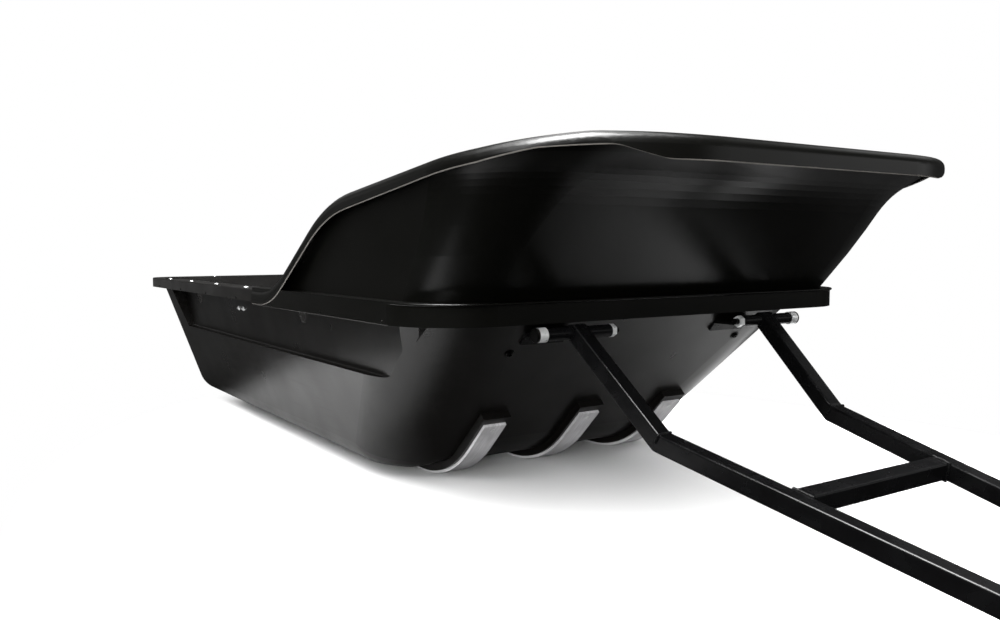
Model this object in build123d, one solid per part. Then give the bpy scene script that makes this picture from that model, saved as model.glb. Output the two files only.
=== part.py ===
from build123d import *
import math
import os

# A towed cargo sled for snow: a hollow plastic tub on three runners, a wind guard on the front
# half of its rim, and a steel drawbar hinged under the front rim.
# Millimetres. +Y runs from the drawbar's nose to the rear rim, +X to the right when the sled is
# seen from the front, +Z up. The origin is the middle of the whole length and width, on the floor.
# Sizes along Y are written from the rim's front edge (hull frame) and moved by MIDDLE at the end.

# Tub
TUB_WALL = 5.0
FLOOR_UNDERSIDE = 18.0
FLOOR_HALF_WIDTH = 288.0
BILGE_RADIUS = 62.0
SIDE_LEAN = 18.5
FRONT_ARC_START = 423.0
FRONT_ARC_RADIUS = 200.0
FRONT_SLOPE = 45.0
REAR_ARC_START = 1531.0
REAR_LEAN = 6.0
FRONT_CORNER = 160.0
REAR_CORNER = 100.0

# Rim of the tub
RIM_TOP = 332.0
RIM_HALF_WIDTH = 446.0
RIM_FRONT = 4.0
RIM_REAR = 1675.0
RIM_CORNER = 108.0
RIM_REAR_CORNER = 75.0
RIM_SKIRT = 25.0
RIM_EDGE = 1.5

# Recessed panel on each side of the tub
PANEL_LEDGE = 207.0
PANEL_FOOT_X = 382.0
PANEL_TOP_X = 405.0
PANEL_FRONT_LOW = 216.0
PANEL_FRONT_TOP = 128.0
PANEL_REAR_LOW = 1425.0
PANEL_REAR_TOP = 1470.0
PANEL_ROUND = 4.0

# Strap slots through the panels, wider at the top
SLOT_YS = (581.0, 1300.0)
SLOT_LOW = 273.0
SLOT_HEIGHT = 24.0
SLOT_WIDTH_TOP = 58.0
SLOT_WIDTH_LOW = 20.0

# Runners
RUNNER_XS = (("left", -201.5), ("centre", 0.0), ("right", 201.5))
STRIP_THICK = 5.0
STRIP_WIDTH = 43.0
STRIP_TOP_Z = 115.0
KEEL_WIDTH = 54.0
KEEL_PAST_STRIP = 14.0
KEEL_REAR = 1560.0
KEEL_OVERLAP = 3.0
KEEL_END_WALL = 6.0
SCREW_YS = (430.0, 700.0, 970.0, 1240.0, 1510.0)
SCREW_SEAT_RADIUS = 4.4
SCREW_SEAT_DEPTH = 2.2
TOP_SCREW_DROP = 13.0

# Wind guard
GUARD_WALL = 4.0
GUARD_GAP = 0.4
GUARD_REAR = 705.0
GUARD_SKIRT = 32.5
GUARD_FOOT_LIFT = 1.5
GUARD_FOOT_Z = RIM_TOP + GUARD_FOOT_LIFT
GUARD_FOOT_HALF_WIDTH = 428.0
GUARD_FOOT_FRONT = 18.0
GUARD_FOOT_CORNER = 92.0
GUARD_RAKE = 42.6
GUARD_FLARE = 71.3
FLARE_START_Z = 466.0
FLARE_RADIUS = 150.0
FLARE_STEPS = 5
GUARD_SPREAD = 0.086
GUARD_ROUNDING = 0.00205
GUARD_TOP_Z = 552.0
LIP_HALF_WIDTH = 452.5
LIP_FRONT = -272.0
LIP_CORNER = 262.0
LIP_ROLL = 14.0
CREST_REAR_Z = RIM_TOP + GUARD_WALL - 1.5
LIP_LOW_REAR_Z = RIM_TOP + GUARD_WALL - GUARD_SKIRT + 2.0

# Hinges of the drawbar
HINGE_X = 201.5
HINGE_Y = 0.0
HINGE_Z = 288.0
BOLT_RADIUS = 5.0
BORE_PLAY = 0.05
SLEEVE_RADIUS = 9.5
SLEEVE_OUTER_END = 59.0
SLEEVE_INNER_START = 17.2
BRACKET_THICK = 5.0
BRACKET_LEG = 22.0
BRACKET_HALF_WIDTH = 40.0
COLLAR_RADIUS = 10.8
COLLAR_LENGTH = 14.0
CAP_LENGTH = 4.0
NUT_ACROSS_FLATS = 17.0
NUT_LENGTH = 8.5
END_PLAY = 0.5
CAP_CHAMFER = 1.2
BOLT_PAST_NUT = 7.0
COLLAR_PLAY = 0.3

# Drawbar
TUBE = 25.4
TUBE_WALL = 2.5
TUBE_CORNER = 3.0
ARM_SLEEVE_WALL = 3.2
ARM_SPLAY = 0.13
BEND_Y = -153.0
BEND_Z = 154.0
LOWER_FALL = 0.215
BEND_RADIUS = 18.0
CROSS_BAR_Y = -345.0
TONGUE_WIDTH = 64.0
TONGUE_THICK = 10.0
TONGUE_LENGTH = 92.0
TOW_PIN_RADIUS = 8.0
TOW_PIN_PLAY = 0.5

# Forms that cut or trim others reach past them, and these sizes never show on the sled
CUT_HALF_WIDTH = 600.0
SWEEP_RISE = 400.0
SWEEP_REAR = 1900.0
CUT_ABOVE_RIM = 30.0
CUT_PAST_RIM = 40.0
PANEL_CORE_LENGTH = 2000.0
KEEL_HOLLOW_OVERLAP = 20.0
GUARD_LINE_FRONT = -330.0
GUARD_LINE_REAR = GUARD_REAR + 60
GUARD_BLOCK_LOW = RIM_TOP - 60
GUARD_BLOCK_HEIGHT = 320
GUARD_FORM_REAR = 900.0
GUARD_HOLLOW_REAR = 940.0
GUARD_FORM_CORNER = 40.0
ARM_PAST_NOSE = 900.0

SPLAY_ANGLE = math.degrees(math.atan(ARM_SPLAY))
NOSE_BAR_Y = BEND_Y - (BEND_Z - TUBE / 2) / LOWER_FALL
NOSE_TIP_Y = NOSE_BAR_Y - TUBE / 2 - TONGUE_LENGTH
MIDDLE = (NOSE_TIP_Y + RIM_REAR) / 2

os.makedirs("parts", exist_ok=True)


def save(shape, name):
    """Move a piece from the hull frame to the part's own origin and write it."""
    export_step(Pos(0, -MIDDLE, 0) * shape, f"parts/{name}.step")


def wall_line(z, arc_radius, inset, lean):
    """Distance from the arc's start to the wall at height z, for a wall inset from the outside."""
    centre_z = FLOOR_UNDERSIDE + arc_radius
    radius = arc_radius - inset
    tangent_z = centre_z - radius * math.sin(math.radians(lean))
    if z <= tangent_z:
        return math.sqrt(max(radius**2 - (centre_z - z) ** 2, 0.0))
    return radius * math.cos(math.radians(lean)) + (z - tangent_z) * math.tan(math.radians(lean))


def outline(half_width, front, rear, front_radius, rear_radius, z):
    """A rectangle lying at height z, with its front and rear corners rounded."""
    face = Rectangle(2 * half_width, rear - front)
    corners = face.vertices().sort_by(Axis.Y)
    face = fillet(corners[:2], front_radius)
    corners = face.vertices().sort_by(Axis.Y)
    face = fillet(corners[-2:], rear_radius)
    return Pos(0, (front + rear) / 2, z) * face


def foot_reach(arc_radius, lean):
    """Distance from an arc's start to where its wall would meet the floor's underside."""
    return arc_radius * math.tan(math.radians(90 - lean) / 2)


def hull(inset):
    """The tub's form below its rim: leaning walls, round corners and a round turn to the floor."""
    side_slope = math.tan(math.radians(SIDE_LEAN))
    rear_slope = math.tan(math.radians(REAR_LEAN))
    front_slope = math.tan(math.radians(90 - FRONT_SLOPE))
    side_inset = inset / math.cos(math.radians(SIDE_LEAN))
    rear_inset = inset / math.cos(math.radians(REAR_LEAN))
    front_inset = inset / math.sin(math.radians(FRONT_SLOPE))
    sections = []
    side_foot = FLOOR_HALF_WIDTH + foot_reach(BILGE_RADIUS, SIDE_LEAN)
    front_foot = FRONT_ARC_START - foot_reach(FRONT_ARC_RADIUS, 90 - FRONT_SLOPE)
    rear_foot = REAR_ARC_START + foot_reach(BILGE_RADIUS, REAR_LEAN)
    for z in (FLOOR_UNDERSIDE + inset, RIM_TOP + inset):
        rise = z - FLOOR_UNDERSIDE
        half_width = side_foot + rise * side_slope - side_inset
        front = front_foot - rise * front_slope + front_inset
        rear = rear_foot + rise * rear_slope - rear_inset
        sections.append(outline(half_width, front, rear, FRONT_CORNER - inset, REAR_CORNER - inset, z))
    form = loft(sections, ruled=True)
    form = fillet(form.faces().sort_by(Axis.Z)[0].edges(), BILGE_RADIUS - inset)
    return form & front_sweep(inset)


def side_prism(points, x_low, x_high, radii=None):
    """A solid whose outline in Y and Z is given, between two values of X, with rounded corners."""
    face = make_face(Polyline(*points, close=True))
    for (y, z), radius in zip(points, radii or [0] * len(points)):
        if radius:
            corner = face.vertices().sort_by_distance(Vector(y, z, 0))[0]
            face = fillet(corner, radius)
    return Pos(x_low, 0, 0) * extrude(Plane.YZ * face, amount=x_high - x_low, dir=(1, 0, 0))


def rim_outline(reach, z):
    """The rim's outline in plan, moved outwards by reach."""
    return outline(
        RIM_HALF_WIDTH + reach,
        RIM_FRONT - reach,
        RIM_REAR + reach,
        RIM_CORNER + reach,
        RIM_REAR_CORNER + reach,
        z,
    )


def front_sweep(inset):
    """Everything behind the tub's sloped front and the wide arc that turns it under."""
    foot = FRONT_ARC_START - foot_reach(FRONT_ARC_RADIUS, 90 - FRONT_SLOPE)
    foot += inset * math.tan(math.radians(FRONT_SLOPE) / 2)
    low = FLOOR_UNDERSIDE + inset
    top = low + SWEEP_RISE
    run = SWEEP_RISE / math.tan(math.radians(FRONT_SLOPE))
    points = [(foot, low), (foot - run, top), (SWEEP_REAR, top), (SWEEP_REAR, low)]
    return side_prism(points, -CUT_HALF_WIDTH, CUT_HALF_WIDTH, (FRONT_ARC_RADIUS - inset, 0, 0, 0))


def panel_recess(inset):
    """The volume pressed in on both sides of the tub, thicker by the wall for its inner face."""
    ledge = PANEL_LEDGE - inset
    above = RIM_TOP + CUT_ABOVE_RIM
    front_lean = (PANEL_FRONT_LOW - PANEL_FRONT_TOP) / (RIM_TOP - PANEL_LEDGE)
    rear_lean = (PANEL_REAR_TOP - PANEL_REAR_LOW) / (RIM_TOP - PANEL_LEDGE)
    side = side_prism(
        [
            (PANEL_FRONT_LOW - inset, ledge),
            (PANEL_FRONT_LOW - inset - front_lean * (above - ledge), above),
            (PANEL_REAR_LOW + inset + rear_lean * (above - ledge), above),
            (PANEL_REAR_LOW + inset, ledge),
        ],
        -RIM_HALF_WIDTH - CUT_PAST_RIM,
        RIM_HALF_WIDTH + CUT_PAST_RIM,
    )
    lean = (PANEL_TOP_X - PANEL_FOOT_X) / (RIM_TOP - PANEL_LEDGE)
    foot = PANEL_FOOT_X - inset
    top = foot + (above - ledge) * lean
    core = make_face(Polyline((-foot, ledge), (foot, ledge), (top, above), (-top, above), close=True))
    core = extrude(Plane.XZ * core, amount=PANEL_CORE_LENGTH, dir=(0, -1, 0))
    return side - Pos(0, PANEL_CORE_LENGTH, 0) * core


def keel_profile(depth, z_top, rear, overlap):
    """Outline in Y and Z of a band that follows the underside, depth below the hull's outside."""
    low = FLOOR_UNDERSIDE - depth
    centre = (FRONT_ARC_START, FLOOR_UNDERSIDE + FRONT_ARC_RADIUS)
    outer = FRONT_ARC_RADIUS + depth
    inner = FRONT_ARC_RADIUS - overlap

    angle = math.radians(FRONT_SLOPE)
    start = (centre[0] - outer * math.sin(angle), centre[1] - outer * math.cos(angle))
    inner_start = (centre[0] - inner * math.sin(angle), centre[1] - inner * math.cos(angle))
    half = angle / 2
    outer_mid = (centre[0] - outer * math.sin(half), centre[1] - outer * math.cos(half))
    inner_mid = (centre[0] - inner * math.sin(half), centre[1] - inner * math.cos(half))
    along = (z_top - start[1]) / math.sin(angle)
    up = (-math.cos(angle) * along, math.sin(angle) * along)
    top_outer = (start[0] + up[0], start[1] + up[1])
    top_inner = (inner_start[0] + up[0], inner_start[1] + up[1])
    edges = [
        Line((0, *top_outer), (0, *start)),
        ThreePointArc((0, *start), (0, *outer_mid), (0, centre[0], low)),
        Line((0, centre[0], low), (0, rear, low)),
        Line((0, rear, low), (0, rear, FLOOR_UNDERSIDE + overlap)),
        Line((0, rear, FLOOR_UNDERSIDE + overlap), (0, centre[0], FLOOR_UNDERSIDE + overlap)),
        ThreePointArc((0, centre[0], FLOOR_UNDERSIDE + overlap), (0, *inner_mid), (0, *inner_start)),
        Line((0, *inner_start), (0, *top_inner)),
        Line((0, *top_inner), (0, *top_outer)),
    ]
    return make_face(Wire(edges))


def band(face, x_middle, width):
    """A side outline made into a solid of the given width about x_middle."""
    return Pos(x_middle - width / 2, 0, 0) * extrude(face, amount=width, dir=(1, 0, 0))


def build_tub():
    outside = hull(0.0)
    inside = hull(TUB_WALL)
    outside -= panel_recess(0.0)
    ledge = outside.edges().filter_by(Axis.Y).filter_by(lambda edge: abs(edge.center().Z - PANEL_LEDGE) < 1)
    outside = fillet(ledge, PANEL_ROUND)
    inside -= panel_recess(TUB_WALL)
    rim = extrude(rim_outline(0.0, RIM_TOP - RIM_SKIRT), RIM_SKIRT)
    under = extrude(rim_outline(-TUB_WALL, RIM_TOP - RIM_SKIRT), RIM_SKIRT - TUB_WALL)
    top_edge = rim.faces().sort_by(Axis.Z)[-1].edges()
    rim = chamfer(top_edge, RIM_EDGE)
    tub = outside + (rim - under)
    keel_depth = FLOOR_UNDERSIDE - STRIP_THICK
    keel_top = STRIP_TOP_Z + KEEL_PAST_STRIP
    keel = keel_profile(keel_depth, keel_top, KEEL_REAR, KEEL_OVERLAP)
    keel_hollow = keel_profile(
        keel_depth - TUB_WALL, keel_top - KEEL_END_WALL, KEEL_REAR - KEEL_END_WALL, KEEL_HOLLOW_OVERLAP
    )
    for _, x in RUNNER_XS:
        tub += band(keel, x, KEEL_WIDTH)
    tub -= inside
    for _, x in RUNNER_XS:
        tub -= band(keel_hollow, x, KEEL_WIDTH - 2 * TUB_WALL)
    for y in SLOT_YS:
        slot = side_prism(
            [
                (y - SLOT_WIDTH_LOW / 2, SLOT_LOW),
                (y + SLOT_WIDTH_LOW / 2, SLOT_LOW),
                (y + SLOT_WIDTH_TOP / 2, SLOT_LOW + SLOT_HEIGHT),
                (y - SLOT_WIDTH_TOP / 2, SLOT_LOW + SLOT_HEIGHT),
            ],
            -RIM_HALF_WIDTH,
            RIM_HALF_WIDTH,
        )
        tub -= slot
    return tub


def build_strip(x):
    face = keel_profile(FLOOR_UNDERSIDE, STRIP_TOP_Z, KEEL_REAR, -(FLOOR_UNDERSIDE - STRIP_THICK))
    strip = band(face, x, STRIP_WIDTH)
    seat = Cone(SCREW_SEAT_RADIUS, SCREW_SEAT_RADIUS - SCREW_SEAT_DEPTH, SCREW_SEAT_DEPTH)
    seat = Pos(0, 0, SCREW_SEAT_DEPTH / 2) * seat
    for y in SCREW_YS:
        strip -= Pos(x, y, 0) * seat
    slope = math.radians(FRONT_SLOPE)
    drop = TOP_SCREW_DROP * math.sin(slope)
    reach = FRONT_ARC_RADIUS + FLOOR_UNDERSIDE
    arc_end_y = FRONT_ARC_START - reach * math.sin(slope)
    arc_end_z = FLOOR_UNDERSIDE + FRONT_ARC_RADIUS - reach * math.cos(slope)
    top_y = arc_end_y - (STRIP_TOP_Z - arc_end_z) / math.tan(slope)
    return strip - Pos(x, top_y + drop, STRIP_TOP_Z - drop) * Rot(-FRONT_SLOPE, 0, 0) * seat


CREST_LINE = (
    # Y, height, radius of the round at that corner
    (GUARD_LINE_FRONT, 537.0, 0.0),
    (-205.0, 544.0, 60.0),
    (-95.0, 530.0, 60.0),
    (331.0, 487.0, 400.0),
    (592.0, CREST_REAR_Z, 240.0),
    (GUARD_LINE_REAR, CREST_REAR_Z, 0.0),
)
LIP_LOW_LINE = (
    (GUARD_LINE_FRONT, 511.0, 0.0),
    (-258.0, 511.0, 10.0),
    (-232.0, 527.5, 20.0),
    (-170.0, 525.0, 60.0),
    (-100.0, 512.0, 60.0),
    (331.0, 461.0, 400.0),
    (600.0, LIP_LOW_REAR_Z, 240.0),
    (GUARD_LINE_REAR, LIP_LOW_REAR_Z, 0.0),
)


def below(line, floor_z, drop=0.0):
    """Everything under a side line and above floor_z, across the whole width."""
    points = [(y, z - drop) for y, z, _ in line]
    points += [(line[-1][0], floor_z), (line[0][0], floor_z)]
    radii = [radius for _, _, radius in line] + [0, 0]
    return side_prism(points, -CUT_HALF_WIDTH, CUT_HALF_WIDTH, radii)


def guard_side():
    """Heights and forward places of the guard's front: a raked run, a turn and a flared run."""
    rake = math.radians(GUARD_RAKE)
    turn = math.radians(GUARD_FLARE) - rake
    rows = []
    for part in (0.0, 0.5, 0.8):
        z = GUARD_FOOT_Z + (FLARE_START_Z - GUARD_FOOT_Z) * part
        rows.append((z, GUARD_FOOT_FRONT - (z - GUARD_FOOT_Z) * math.tan(rake)))
    start_y = GUARD_FOOT_FRONT - (FLARE_START_Z - GUARD_FOOT_Z) * math.tan(rake)
    for step in range(FLARE_STEPS + 1):
        angle = rake + turn * step / FLARE_STEPS
        z = FLARE_START_Z + FLARE_RADIUS * (math.sin(angle) - math.sin(rake))
        rows.append((z, start_y - FLARE_RADIUS * (math.cos(rake) - math.cos(angle))))
    end_z, end_y = rows[-1]
    for part in (0.33, 0.66, 1.0):
        rise = (GUARD_TOP_Z - end_z) * part
        rows.append((end_z + rise, end_y - rise * math.tan(math.radians(GUARD_FLARE))))
    return rows


def guard_form(inset, lift, rear):
    """Level outlines of the guard's wall, wider and rounder as they reach forward."""
    sections = []
    for z, front in guard_side():
        reach = GUARD_FOOT_FRONT - front
        half_width = GUARD_FOOT_HALF_WIDTH + GUARD_SPREAD * reach
        corner = min(GUARD_FOOT_CORNER + GUARD_ROUNDING * reach**2, half_width - GUARD_WALL)
        level = outline(half_width - inset, front + inset, rear, corner - inset, GUARD_FORM_CORNER, z + lift)
        sections.append(level)
    return sections


def lip_outline(reach):
    """The lip's outline in plan, moved outwards by reach."""
    return outline(
        LIP_HALF_WIDTH + reach,
        LIP_FRONT - reach,
        GUARD_FORM_REAR,
        LIP_CORNER + reach,
        GUARD_FORM_CORNER,
        GUARD_BLOCK_LOW,
    )


def lip_block(inset):
    """Everything under the guard's crest and within its lip, with the upper edge rolled over."""
    under_crest = below(CREST_LINE, GUARD_BLOCK_LOW - 10 - inset, inset)
    block = extrude(lip_outline(-inset), GUARD_BLOCK_HEIGHT) & under_crest
    upper = ShapeList()
    for face in block.faces():
        if face.normal_at().Z > 0.5:
            for edge in face.edges():
                middle = edge.center()
                if abs(middle.X) > 1 or middle.Y < LIP_FRONT + 10:
                    upper.append(edge)
    return fillet(upper, LIP_ROLL - inset)


def build_guard():
    block = lip_block(0.0)
    lip = block - lip_block(GUARD_WALL) - below(LIP_LOW_LINE, GUARD_BLOCK_LOW - 20)
    skirt_low = RIM_TOP + GUARD_WALL - GUARD_SKIRT
    flange = extrude(rim_outline(GUARD_GAP + GUARD_WALL, skirt_low), GUARD_SKIRT)
    # The leaning wall's thickness, split into a step inwards and a step upwards
    step_in = GUARD_WALL * 0.85
    step_up = GUARD_WALL * 0.75
    mouth = Pos(0, 0, -GUARD_SKIRT - 10) * guard_form(step_in, 0.0, GUARD_HOLLOW_REAR)[0]
    hollow = loft([mouth] + guard_form(step_in, step_up, GUARD_HOLLOW_REAR), ruled=True)
    outer = loft(guard_form(0.0, 0.0, GUARD_FORM_REAR), ruled=True)
    guard = (outer & block) + lip + flange - hollow
    guard -= extrude(rim_outline(GUARD_GAP, skirt_low - 10), GUARD_SKIRT - GUARD_WALL + 10)
    kept_length = GUARD_REAR + CUT_HALF_WIDTH
    kept = Pos(0, GUARD_REAR - kept_length / 2, 450) * Box(2 * CUT_HALF_WIDTH, kept_length, 400)
    return guard & kept


def arm_outline(half):
    """Side outline of one drawbar arm: a steep upper run, a bend and a long lower run."""
    stretch = math.sqrt(1 + ARM_SPLAY**2)
    bend = Vector((BEND_Y - HINGE_Y) * stretch, BEND_Z - HINGE_Z)
    upper = bend.normalized()
    lower = Vector(-stretch, -LOWER_FALL).normalized()
    upper_side = Vector(-upper.Y, upper.X)
    lower_side = Vector(-lower.Y, lower.X)
    half_turn = math.radians(upper.get_angle(lower)) / 2
    mitre = (upper_side + lower_side).normalized() * (half / math.cos(half_turn))
    start = upper * -half
    nose = bend + lower * ARM_PAST_NOSE
    points = [
        start + upper_side * half,
        bend + mitre,
        nose + lower_side * half,
        nose - lower_side * half,
        bend - mitre,
        start - upper_side * half,
    ]
    return [(point.X, point.Y) for point in points]


def arm_solid(half):
    """The arm's square form about its middle line, turned in plan and set at its hinge."""
    turns = (BEND_RADIUS - half / 2, 0, 0, BEND_RADIUS + half / 2)
    points = arm_outline(half)
    form = side_prism(points, -half, half, (0, *turns, 0))
    corner = TUBE_CORNER - (TUBE / 2 - half)
    ends = form.faces().sort_by(Axis.Y)
    long_edges = form.edges().filter_by(Axis.X, reverse=True) - ends[0].edges() - ends[-1].edges()
    end_radius = 0.98 * half
    rounded_end = side_prism(points, -half, half, (end_radius, *turns, end_radius))
    form = fillet(long_edges, corner) & rounded_end
    placed = Pos(HINGE_X, HINGE_Y, HINGE_Z) * Rot(0, 0, -SPLAY_ANGLE) * form
    ahead = Pos(HINGE_X, NOSE_BAR_Y + TUBE / 2 + 700, 200) * Box(900, 1400, 900)
    return placed & ahead


def build_arm():
    arm = arm_solid(TUBE / 2) - arm_solid(TUBE / 2 - TUBE_WALL)
    at_hinge = Pos(HINGE_X, HINGE_Y, HINGE_Z) * Rot(0, 90, 0)
    arm += at_hinge * Cylinder(BOLT_RADIUS + ARM_SLEEVE_WALL, 2 * (SLEEVE_INNER_START - END_PLAY - 0.1))
    arm -= at_hinge * Cylinder(BOLT_RADIUS + BORE_PLAY, 2 * SLEEVE_OUTER_END)
    return arm


def tube_across(length):
    """A square tube along X about the origin."""
    outer = Box(length, TUBE, TUBE)
    outer = fillet(outer.edges().filter_by(Axis.X), TUBE_CORNER)
    return outer - Box(length + 2, TUBE - 2 * TUBE_WALL, TUBE - 2 * TUBE_WALL)


def build_cross_bar():
    z = BEND_Z - (BEND_Y - CROSS_BAR_Y) * LOWER_FALL
    tilt = math.degrees(math.atan(LOWER_FALL / math.sqrt(1 + ARM_SPLAY**2)))
    bar = Pos(0, CROSS_BAR_Y, z) * Rot(tilt, 0, 0) * tube_across(2 * HINGE_X)
    bar -= arm_solid(TUBE / 2)
    bar -= mirror(arm_solid(TUBE / 2), Plane.YZ)
    return bar.solids().sort_by_distance(Vector(0, CROSS_BAR_Y, z))[0]


def build_nose_bar():
    reach = HINGE_X + (NOSE_BAR_Y - HINGE_Y) * ARM_SPLAY + TUBE * 0.75
    bar = Pos(0, NOSE_BAR_Y, TUBE / 2) * tube_across(2 * reach)
    end_cap = Box(TUBE_WALL, TUBE, TUBE)
    bar += Pos(reach, NOSE_BAR_Y, TUBE / 2) * end_cap
    bar += Pos(-reach, NOSE_BAR_Y, TUBE / 2) * end_cap
    tongue = Pos(0, NOSE_BAR_Y - TUBE / 2, TUBE / 2) * Box(
        TONGUE_WIDTH, 2 * TONGUE_LENGTH - TONGUE_WIDTH, TONGUE_THICK
    )
    eye_y = NOSE_TIP_Y + TONGUE_WIDTH / 2
    tongue += Pos(0, eye_y, TUBE / 2) * Cylinder(TONGUE_WIDTH / 2, TONGUE_THICK)
    tongue -= Pos(0, NOSE_BAR_Y + 500 - TUBE / 2 + TUBE_WALL, TUBE / 2) * Box(200, 1000, TUBE)
    bar += tongue
    bar -= Pos(0, eye_y, TUBE / 2) * Cylinder(TOW_PIN_RADIUS + TOW_PIN_PLAY, TUBE)
    return bar


def across(x_low, x_high, radius):
    """A round bar along X on the hinge's axis, between two distances from the hinge's middle."""
    middle = HINGE_X + (x_low + x_high) / 2
    return Pos(middle, HINGE_Y, HINGE_Z) * Rot(0, 90, 0) * Cylinder(radius, x_high - x_low)


def front_face_y(z, inset=0.0):
    """Where the tub's sloped front stands at height z."""
    return FRONT_ARC_START - wall_line(z, FRONT_ARC_RADIUS, inset, 90 - FRONT_SLOPE)


def build_bracket():
    outer_sleeve = across(SLEEVE_INNER_START, SLEEVE_OUTER_END, SLEEVE_RADIUS)
    inner_sleeve = across(-SLEEVE_OUTER_END, -SLEEVE_INNER_START, SLEEVE_RADIUS)
    bottom = HINGE_Z - SLEEVE_RADIUS
    top = bottom + BRACKET_THICK
    slope = math.radians(FRONT_SLOPE)
    face_y = front_face_y(top)
    leg_low = (face_y + BRACKET_LEG * math.cos(slope), top - BRACKET_LEG * math.sin(slope))
    normal = (-math.sin(slope) * BRACKET_THICK, -math.cos(slope) * BRACKET_THICK)
    profile = [
        (HINGE_Y, bottom),
        (HINGE_Y, top),
        (face_y, top),
        leg_low,
        (leg_low[0] + normal[0], leg_low[1] + normal[1]),
        (front_face_y(bottom) + normal[0] * 1.15, bottom),
    ]
    plate = side_prism(profile, HINGE_X - BRACKET_HALF_WIDTH, HINGE_X + BRACKET_HALF_WIDTH)
    swing = HINGE_Y + TUBE * 1.35
    notch = Pos(HINGE_X, swing - 100, HINGE_Z) * Box(2 * SLEEVE_INNER_START + 8, 200, 120)
    bracket = plate - notch + outer_sleeve + inner_sleeve
    return bracket - across(-SLEEVE_OUTER_END - 1, SLEEVE_OUTER_END + 1, BOLT_RADIUS + BORE_PLAY)


def build_bolt():
    collar_end = SLEEVE_OUTER_END + COLLAR_LENGTH
    shank = across(-SLEEVE_OUTER_END - NUT_LENGTH - BOLT_PAST_NUT, collar_end, BOLT_RADIUS)
    head = across(collar_end, collar_end + CAP_LENGTH, COLLAR_RADIUS)
    return shank + chamfer(head.edges().filter_by(GeomType.CIRCLE).sort_by(Axis.X)[-1], CAP_CHAMFER)


def build_collar():
    ring = across(SLEEVE_OUTER_END, SLEEVE_OUTER_END + COLLAR_LENGTH, COLLAR_RADIUS)
    bore = across(SLEEVE_OUTER_END - 1, SLEEVE_OUTER_END + COLLAR_LENGTH + 1, BOLT_RADIUS + COLLAR_PLAY)
    return ring - bore


def build_nut():
    hexagon = RegularPolygon(NUT_ACROSS_FLATS / 2, 6, major_radius=False)
    nut = extrude(hexagon, NUT_LENGTH) - Cylinder(BOLT_RADIUS + COLLAR_PLAY, 4 * NUT_LENGTH)
    return Pos(HINGE_X - SLEEVE_OUTER_END - NUT_LENGTH, HINGE_Y, HINGE_Z) * Rot(0, 90, 0) * nut


save(build_tub(), "tub")
save(build_guard(), "wind_guard")
for side, x in RUNNER_XS:
    save(build_strip(x), f"runner_strip_{side}")
pairs = (
    ("arm", build_arm()),
    ("hinge_bracket", build_bracket()),
    ("hinge_bolt", build_bolt()),
    ("hinge_collar", build_collar()),
    ("hinge_nut", build_nut()),
)
for name, right in pairs:
    save(right, f"{name}_right")
    save(mirror(right, Plane.YZ), f"{name}_left")
save(build_cross_bar(), "cross_bar")
save(build_nose_bar(), "nose_bar")
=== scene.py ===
import math
import bmesh
import bpy
from mathutils import Matrix, Vector


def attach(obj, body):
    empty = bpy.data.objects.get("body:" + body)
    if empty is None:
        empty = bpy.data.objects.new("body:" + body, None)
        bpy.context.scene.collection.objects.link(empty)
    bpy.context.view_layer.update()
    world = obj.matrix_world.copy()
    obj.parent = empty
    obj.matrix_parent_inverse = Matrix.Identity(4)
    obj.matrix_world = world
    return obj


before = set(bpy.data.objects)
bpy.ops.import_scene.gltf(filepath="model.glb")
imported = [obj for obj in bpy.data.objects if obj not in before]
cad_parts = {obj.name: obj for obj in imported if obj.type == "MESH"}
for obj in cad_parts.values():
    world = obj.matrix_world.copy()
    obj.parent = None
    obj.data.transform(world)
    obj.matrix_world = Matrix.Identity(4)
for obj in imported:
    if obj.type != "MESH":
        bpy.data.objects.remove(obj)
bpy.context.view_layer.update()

# A towed cargo sled for snow: formed black tub and wind guard, grey runner strips, coated drawbar.
# Lengths are written in millimetres from the rim's front edge, as in the part's own drawing, and
# at() turns them into metres in the part's frame.

RIM_FRONT_EDGE = -380.0454  # the rim's front edge along Y in the part's frame
SIDES = (("left", -1), ("right", 1))

# Tub
RIM_TOP = 332.0
RIM_HALF_WIDTH = 446.0
FRONT_FACE_SUM = 358.0  # Y plus Z anywhere on the tub's sloped front
STRIP_XS = (-201.5, 0.0, 201.5)
STRIP_TOP = (217.7, 115.0)  # Y and height of a strip's front end

# Wind guard
GUARD_REAR = 705
FLANGE_HALF_WIDTH = 450.4
FLANGE_FRONT = -4.4
FLANGE_CORNER = 112.4
LIP_HALF_WIDTH = 452.5
LIP_FRONT = -272
LIP_CORNER = 262
LIP_LOW_LINE = (
    # Y, height, radius of the round at that corner
    (-330.0, 511.0, 0.0),
    (-258.0, 511.0, 10.0),
    (-232.0, 527.5, 20.0),
    (-170.0, 525.0, 60.0),
    (-100.0, 512.0, 60.0),
    (331.0, 461.0, 400.0),
    (600.0, 305.5, 240.0),
    (765.0, 305.5, 0.0),
)
LIP_BURR_RADIUS = 1.3
LIP_BURR_INSET = 2.0
LIP_BURR_DROP = 0.1
UPPER_EDGE_RADIUS = 2.0
UPPER_EDGE_INSET = 1.9
UPPER_EDGE_Z = 334.1
LOWER_EDGE_RADIUS = 1.0
LOWER_EDGE_FRONT = 110
LOWER_EDGE_Z = 303.6

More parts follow.
